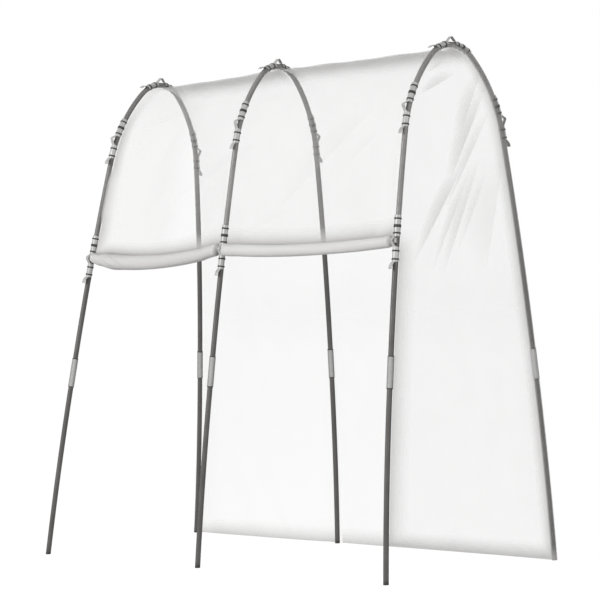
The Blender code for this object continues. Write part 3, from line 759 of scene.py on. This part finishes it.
def roll_place(bay, across):
    """Half height, half depth, path length and offset of the roll's middle, and how full it is."""
    near, far = BAYS[bay]
    away = min(across, 1 - across) * BAY_LENGTHS[bay]
    fat = smooth_step(away, ROLL_NECK_LENGTH, ROLL_NECK_LENGTH + ROLL_SWELL_LENGTH)
    full = ROLL_RADII[near] + (ROLL_RADII[far] - ROLL_RADII[near]) * across
    slack = 1 - ROLL_END_TAPER * (1 - smooth_step(along_tunnel(bay, across), 0.0, ROLL_END_LENGTH))
    height, depth = (neck + (full * slack - neck) * fat for neck in ROLL_NECK)
    sag = (ROLL_SAGS[bay] * 4 * across * (1 - across) - 0.5 * full * (1 - slack)) * fat
    return height, depth, CLIPS["front_lower"][0] + sag, CLIP_BORE + GAP + ROLL_NECK[1], fat


def line_field(u, v, lines, edge):
    """Height of creases, each from one place to another with a width and a height, and their painted shade.

    A crease is widest past its middle and fades out at its ends. Its painted shade lies on one side:
    it starts along its line, within the edge, and fades across it.
    """
    height, shaded_side = np.zeros_like(u), np.zeros_like(u)
    for u0, v0, u1, v1, width, rise in lines:
        length = np.hypot(u1 - u0, v1 - v0)
        t = ((u - u0) * (u1 - u0) + (v - v0) * (v1 - v0)) / length ** 2
        off = ((u - u0) * (v1 - v0) - (v - v0) * (u1 - u0)) / length
        within = np.clip(t, 0, 1)
        taper = np.where((t > 0) & (t < 1), np.sin(pi * within), 0.0)
        side = off / (width * (0.35 + 1.1 * np.sin(pi * within ** 0.8)))
        height += 0.35 * rise * np.exp(-(side / 1.4) ** 2) * taper
        # Painted shade on one side of each crease.
        shaded = smooth_step(off, -edge, edge) * fading(side, 2.6, 0.8)
        shaded_side = np.maximum(shaded_side, (rise / FULL_CREASE_SHADE) * shaded * taper)
    return height, shaded_side


def film_row_shade(u, s, front_end):
    """Painted shade on the film, from 0 to 1: at the ridge, the left hoop, the roll's top, the back's foot.
    """
    # Painted shade at the ridge, beside the left hoop, above the roll and at the back's foot.
    ridge = (1 - smooth_step(np.abs(s), 0.045, 0.144)) * (0.88 - 0.76 * smooth_step(s, -0.024, 0.024))
    left_hoop_shade = np.where(s > 0, 0.40 + 0.60 * smooth_step(s, 0.10, 0.32), 0.10)
    left_hoop_shade = left_hoop_shade * fading(u - 0.010, 0.125, 1.25)
    above_roll = fading(front_end - s - 0.004, 0.064, 1.4) * (s > 0)
    rear_shade = 0.85 * fading(GROUND_AT + s, 0.066, 1.2) * (s < 0)
    # The front's left part is made faintly greyer.
    left_front_greyer = 0.20 * (1 - smooth_step(u, 0.36, 0.56)) * smooth_step(s, 0.04, 0.12)
    return np.maximum.reduce([ridge, left_hoop_shade, above_roll, rear_shade, left_front_greyer])


def film_lines():
    """Every line of the film over the tunnel: its kind, its bay or hoop, and its place there.

    That place is a share across the bay, an angle round the tube, or a distance from the hoop.
    """
    lines = [("hem", "left", b) for b in np.linspace(-HEM_OVERHANG, -HEM_FROM, 3)]
    lines += [("tube", "left", angle) for angle in TUBE_LINES]
    for bay, (length, (_, far)) in enumerate(zip(BAY_LENGTHS, BAYS)):
        middle = np.linspace(MIDDLE_FROM, length - MIDDLE_FROM, MIDDLE_LINES)
        lines += [("bay", bay, d / length) for d in (*NEAR_LINES, *middle, *(length - NEAR_LINES[::-1]))]
        lines += [("tube", far, angle) for angle in TUBE_LINES]
    return lines + [("hem", "right", b) for b in np.linspace(HEM_FROM, PANEL_OFFSET, 2)]


def bay_offset(bay, across, s):
    """The film's offset between two hoops, and the painted shade on one side of its creases."""
    away = min(across, 1 - across) * BAY_LENGTHS[bay]
    u = along_tunnel(bay, across)
    height, depth, middle, offset, fat = roll_place(bay, across)
    front_end = middle + height * cos(WOUND_FROM)
    reach = film_reach(s)
    flat = 1 - smooth_step(away, FLARE_NEAR * 0.7, FLARE_FAR)
    sag = FILM_SAG * 4 * across * (1 - across) * np.minimum(1, HEM_SAG_SHARE + GROUND_AT - np.abs(s))
    rise, shaded_side = line_field(np.full_like(s, u), s, FRONT_CREASES, FRONT_CREASE_EDGE)
    wave = 0.0016 * np.sin(7.3 * s + 5.1 * u) * np.sin(9.7 * u - 3.2 * s) + 0.0007 * np.sin(31 * u + 17 * s)
    loose = smooth_step(away, 0.03, 0.16)
    n = reach + (-LIP_DROP - reach) * clip_pinch(s) * flat - sag + (rise + wave) * loose
    edge = np.clip((s - LEAVES_HOOPS_AT) / (front_end - LEAVES_HOOPS_AT), 0, 1)
    edge = np.maximum(0, 2 * edge - 1) ** 2 * fat ** 2
    n = n + (offset + depth * sin(WOUND_FROM) - n) * edge
    drawn = smooth_step(away, *DIP_DEEPENS) * (1 - DIP_LOSS * smooth_step(away, *DIP_WEAKENS))
    return n - CROWN_DIP * drawn * (1 - smooth_step(np.abs(s), *DIP_ENDS)), shaded_side


def film_line(kind, where, value, share_down):
    """One line of the film from the ground at the back to the roll: its points, and their shade."""
    bay, across = (where, value) if kind == "bay" else HOOP_PLACES[where]
    height, _, middle, _, _ = roll_place(bay, across)
    front_end = middle + height * cos(WOUND_FROM)
    s = np.where(share_down >= 0, share_down * front_end, share_down * GROUND_AT)
    u = along_tunnel(bay, across)
    if kind == "bay":
        n, shaded_side = bay_offset(bay, across, s)
        points = skin_points(bay, across, s, n)
        # Painted shade on one side of the front film's creases.
        shade = film_row_shade(u, s, front_end) + FRONT_CREASE_SHADE * shaded_side
        away = min(across, 1 - across) * BAY_LENGTHS[bay]
        shade = LEAST_SHADE + (shade - LEAST_SHADE) * smooth_step(away, 0.010, 0.020)
    else:
        reach = film_reach(s)
        pinch = 1.0 if kind == "hem" or value * OUTER_SIDE[where] > 0 else clip_pinch(s)
        if kind == "tube":
            lip = np.maximum(-LIP_DROP, reach * cos(value) - LIP_DROP * (abs(value) / (pi / 2)) ** 6)
            points = hoop_points(where, s, reach + (lip - reach) * pinch, reach * sin(value))
            shade = np.full_like(s, TAUT_SHADE[where])
        else:
            points = hoop_points(where, s, reach + (-LIP_DROP - reach) * pinch, value)
            shade = film_row_shade(u, s, front_end)
    points[:, 2] = np.maximum(points[:, 2], LOWEST_FILM)
    return points, np.clip(shade, LEAST_SHADE, 1)


def wound_line(kind, where, value, down):
    """The rolled part of one line of the film, from where it reaches the roll to its inner end."""
    bay, across = (where, value) if kind == "bay" else HOOP_PLACES[where]
    height, depth, middle, offset, fat = roll_place(bay, across)
    beside = 0.0
    if kind == "hem":
        beside = value
    elif kind == "tube":
        beside = TUBE_RADIUS * sin(value)
    u = along_tunnel(bay, across) + beside
    angle = WOUND_FROM + 2 * pi * WOUND_TURNS * down
    turn = 2 * pi * u / FOLD_PITCH
    twisted = np.exp(-((u - TWIST_AT) / TWIST_LENGTH) ** 2)
    twist = 6 * angle + 2 * pi * u / TWIST_PITCH
    fold = 0.014 * np.cos(3 * angle + turn) + 0.010 * np.cos(2 * angle - 1.7 * turn + 1.0)
    fold += 0.045 * twisted * np.maximum(0, np.cos(twist)) ** 3
    pleat = 0.07 * np.cos(9 * angle)
    size = (1 - WOUND_TIGHTENING * WOUND_TURNS * down) * (1 + fold * fat + pleat * (1 - fat))
    s = middle + height * size * np.cos(angle)
    n = offset + depth * size * np.sin(angle)
    # Painted shade on the roll: under it, in its twisted creases, at its necks and in the crevice where the
    # film goes in. It is also darker over its left part.
    under = smooth_step(np.cos(angle), 0.80, 1.0)
    crease = twisted * np.maximum(0, np.cos(twist + 0.9)) ** 6
    shade = 0.20 - 0.12 * smooth_step(u, 0.60, 1.00) + 0.15 * (1 - fat) + 0.22 * under + 0.30 * crease
    shade = shade + 0.80 * fading(angle - WOUND_FROM, 0.5)
    points = skin_points(bay, across, s, n) if kind == "bay" else hoop_points(where, s, n, beside)
    return points, shade


def cover():
    """The whole cover: one sheet from the ground at the back over the hoops into the roll."""
    share_down = np.concatenate([np.linspace(-1, 0, 201), np.linspace(0, 1, 161)[1:-1]])
    down = np.linspace(0, 1, int(WOUND_ROWS_PER_TURN * WOUND_TURNS))
    grid, shades = [], []
    for line in film_lines():
        points, shade = film_line(*line, share_down)
        rolled, rolled_shade = wound_line(*line, down)
        grid.append(np.concatenate([points, rolled]))
        shades.append(np.concatenate([shade, rolled_shade]))
    grid = np.stack(grid)
    made = piece("film_cover", grid, grid_faces(*grid.shape[:2]), SHEET,
                 stands_for=["cover_roof", "cover_front", "cover_back", "curtain_roll"], slot="film_clear")
    set_values(made, "shade", np.stack(shades))
    wound = np.zeros(grid.shape[:2])
    wound[:, len(share_down):] = 1
    set_values(made, "wound", wound)
    return made


# The end panel: its distance beyond the right hoop, the height of its front lower corner, and the
# share of the way down the hoop at which it starts.
PANEL_OFFSET = (SLEEVE_RADIUS + GAP) / CORNER_COS + FILM + 0.001
PANEL_CORNER_HEIGHT = 0.130
PANEL_START = 0.012
# Painted light: the whole panel's film is made this much clearer, so that it looks brighter.
PANEL_PAINTED_LIGHT = 0.09

# Its folds, in the right hoop's own frame: from and to, across and up, width and height.
PANEL_FOLDS = (
    (0.124, 1.715, -0.024, 1.425, 0.015, 0.0060),
    (0.148, 1.668, -0.064, 1.302, 0.018, 0.0075),
    (0.158, 1.580, -0.076, 1.230, 0.012, 0.0060),
    (0.040, 1.420, -0.225, 1.058, 0.014, 0.0070),
    (0.075, 1.410, -0.144, 1.030, 0.010, 0.0055),
    (0.105, 1.420, -0.090, 1.022, 0.016, 0.0060),
    (0.145, 1.390, -0.021, 1.088, 0.012, 0.0045),
    (0.000, 1.700, -0.189, 1.615, 0.010, 0.0055),
    (-0.031, 1.748, -0.169, 1.682, 0.009, 0.0045),
    (0.215, 1.420, 0.110, 1.020, 0.060, 0.0028),
)
PANEL_FOLD_EDGE = 0.003
PANEL_FOLD_SHADE = 0.52


def end_sheet():
    """A sheet across the right hoop, cut to its outline, with its front lower corner drawn up."""
    corner = GROUND_AT - PANEL_CORNER_HEIGHT / sin(float(half_outline(GROUND_AT)[2]))
    rear = GROUND_AT * np.linspace(PANEL_START, 1, 481)
    below = np.clip((rear - STRAIGHT_START) / (GROUND_AT - STRAIGHT_START), 0, 1)
    front = rear - below * (GROUND_AT - corner)
    inset = -LIP_DROP - FILM / 2 - GAP

    def edge(lengths, side):
        out, drop, slope = half_outline(lengths)
        across, up = side * (out + inset * np.sin(slope)), HOOP_HEIGHT - drop + inset * np.cos(slope)
        return np.stack([across, up], -1)

    front_edge, rear_edge = edge(front, -1), edge(rear, 1)
    share = np.linspace(0, 1, 241)[None, :, None]
    grid = front_edge[:, None] * (1 - share) + rear_edge[:, None] * share
    y, z = grid[..., 0], grid[..., 1]
    width = np.linalg.norm(rear_edge - front_edge, axis=1)[:, None]
    from_front, from_rear = share[..., 0] * width, (1 - share[..., 0]) * width
    from_top = HOOP_HEIGHT + inset - z
    from_bottom = np.broadcast_to((GROUND_AT - rear)[:, None], y.shape)

    height, shaded_side = line_field(y, z, PANEL_FOLDS, PANEL_FOLD_EDGE)
    inside = smooth_step(np.minimum(from_front, from_rear), 0.0, 0.05)
    wave = 0.0015 * np.sin(11 * y + 6 * z) * np.sin(5 * z - 3 * y) + 0.0006 * np.sin(37 * y - 11 * z)
    x = PANEL_OFFSET + inside * (height + np.maximum(0, wave))
    points = from_hoop("right", np.stack([x, y, z], -1))
    points[..., 2] = np.maximum(points[..., 2], LOWEST_FILM)

    # Painted shade along the panel's edges: beside the front leg, along the rear tube, near the ground and
    # under the crown.
    front_shade = 0.62 * fading(from_front - 0.008, 0.085, 1.4) * smooth_step(from_top, 0.62, 0.72)
    beside_rear = 0.84 * fading(from_rear - 0.024, 0.060, 1.4) * smooth_step(from_rear, 0.018, 0.028)
    rear_shade = 0.60 * (1 - smooth_step(from_rear, 0.001, 0.005)) * smooth_step(from_top, 0.45, 0.60)
    bottom_shade = 0.85 * fading(from_bottom, 0.056, 1.3)
    under_crown = 0.42 * fading(from_top - 0.012, 0.050, 1.4) * smooth_step(from_top, 0.009, 0.016)
    edge_shade = np.maximum.reduce([front_shade, beside_rear, rear_shade, bottom_shade, under_crown])
    # Painted shade on one side of the panel's folds is added to that of its edges.
    shade = edge_shade - PANEL_PAINTED_LIGHT + PANEL_FOLD_SHADE * shaded_side * inside
    made = piece("end_sheet", points, grid_faces(*points.shape[:2]), SHEET,
                 stands_for=["end_panel"], slot="film_clear")
    set_values(made, "shade", np.clip(shade, LEAST_SHADE, 1))
    return made


# The whole tunnel

for hoop in HOOPS:
    tube(f"{hoop}_arch_tube", hoop, ARCH_LENGTH / 2, -ARCH_LENGTH / 2)
    for leg, side in (("front", 1), ("rear", -1)):
        tube(f"{hoop}_{leg}_leg_tube", hoop, side * LEG_START, side * LEG_END)
        sleeve(f"{hoop}_{leg}_sleeve", hoop, side)
        foot_plug(f"{hoop}_{leg}_foot_plug", hoop, side)
    for place in CLIPS:
        clip_grip(hoop, place)
        clip_arm(hoop, place)
        bands(f"{hoop}_{place}_grip_bands", hoop, place, GRIP_BANDS, "frame")
        bands(f"{hoop}_{place}_arm_bands", hoop, place, ARM_BANDS, f"{hoop}_{place}_arm")

film_cover = cover()
panel = end_sheet()


# Camera, floor and light

IMAGE_SIZE = 600
SENSOR_WIDTH = 36.0
FOCAL_PIXELS = 2140.35
CAMERA_AT = Vector((5.28077, -5.81082, 0.97854))
CAMERA_YAW, CAMERA_PITCH, CAMERA_ROLL = radians(41.869), radians(-0.271), radians(-1.603)

# The floor's half size, its own brightness and its response to light where it is seen, and its
# colour for the light that it throws back.
FLOOR_SIZE = 60.0
FLOOR_GLOW = 0.965
FLOOR_SHADOW = (0.07, 0.07, 0.07, 1)
FLOOR_BOUNCE = (0.80, 0.80, 0.80, 1)

# The world's light on the object, and the point that the lamps face.
WORLD_LIGHT = 0.50
LAMPS_FACE = Vector((0, 0, 0.9))


def camera():
    level = cos(CAMERA_PITCH)
    forward = Vector((-sin(CAMERA_YAW) * level, cos(CAMERA_YAW) * level, sin(CAMERA_PITCH)))
    right = forward.cross(Vector((0, 0, 1))).normalized()
    up = right.cross(forward)
    rolled_right = right * cos(CAMERA_ROLL) + up * sin(CAMERA_ROLL)
    rolled_up = -right * sin(CAMERA_ROLL) + up * cos(CAMERA_ROLL)
    data = bpy.data.cameras.new("camera")
    data.sensor_width = SENSOR_WIDTH
    data.lens = FOCAL_PIXELS / IMAGE_SIZE * SENSOR_WIDTH
    made = place_object("camera", data)
    turn = Matrix((rolled_right, rolled_up, -forward)).transposed().to_4x4()
    made.matrix_world = Matrix.Translation(CAMERA_AT) @ turn
    bpy.context.scene.camera = made


def seen_rays(tree):
    """1 for camera, glossy and transmission rays."""
    rays = add(tree, "ShaderNodeLightPath").outputs
    seen = maths(tree, "MAXIMUM", rays["Is Camera Ray"], rays["Is Glossy Ray"])
    return maths(tree, "MAXIMUM", seen, rays["Is Transmission Ray"])


def world():
    """White where it is seen, and dimmer as a light."""
    made = bpy.data.worlds.new("studio")
    bpy.context.scene.world = made
    made.use_nodes = True
    tree = made.node_tree
    levels = {"Value": seen_rays(tree), "To Min": WORLD_LIGHT, "To Max": 1.0}
    strength = add(tree, "ShaderNodeMapRange", levels).outputs["Result"]
    feed(tree.nodes["Background"], {"Color": (1, 1, 1, 1), "Strength": strength})


def floor():
    """A nearly white floor that keeps a faint shadow."""
    made, tree, shader = new_material("studio_floor")
    tree.nodes.remove(shader)
    glow = add(tree, "ShaderNodeEmission", {"Strength": FLOOR_GLOW}).outputs[0]
    shadowed = add(tree, "ShaderNodeBsdfDiffuse", {"Color": FLOOR_SHADOW}).outputs[0]
    plain = add(tree, "ShaderNodeBsdfDiffuse", {"Color": FLOOR_BOUNCE}).outputs[0]
    shown = add(tree, "ShaderNodeAddShader", {0: glow, 1: shadowed}).outputs[0]
    set_surface(tree, mix_shaders(tree, seen_rays(tree), plain, shown))
    mesh = bpy.data.meshes.new("floor")
    corners = [(x * FLOOR_SIZE, y * FLOOR_SIZE, 0) for x, y in ((-1, -1), (1, -1), (1, 1), (-1, 1))]
    mesh.from_pydata(corners, [], [(0, 1, 2, 3)])
    mesh.materials.append(made)
    place_object("floor", mesh)


def lamp(name, at, size, energy):
    data = bpy.data.lights.new(name, "AREA")
    data.shape = "DISK"
    data.size = size
    data.energy = energy
    made = place_object(name, data)
    made.location = at
    made.rotation_euler = (LAMPS_FACE - Vector(at)).to_track_quat("-Z", "Y").to_euler()


camera()
world()
floor()
lamp("key", (-1.6, -6.3, 3.4), 2.0, 410)
lamp("fill", (6.5, -2.0, 3.0), 3.0, 175)
bpy.context.scene.view_settings.view_transform = "Standard"
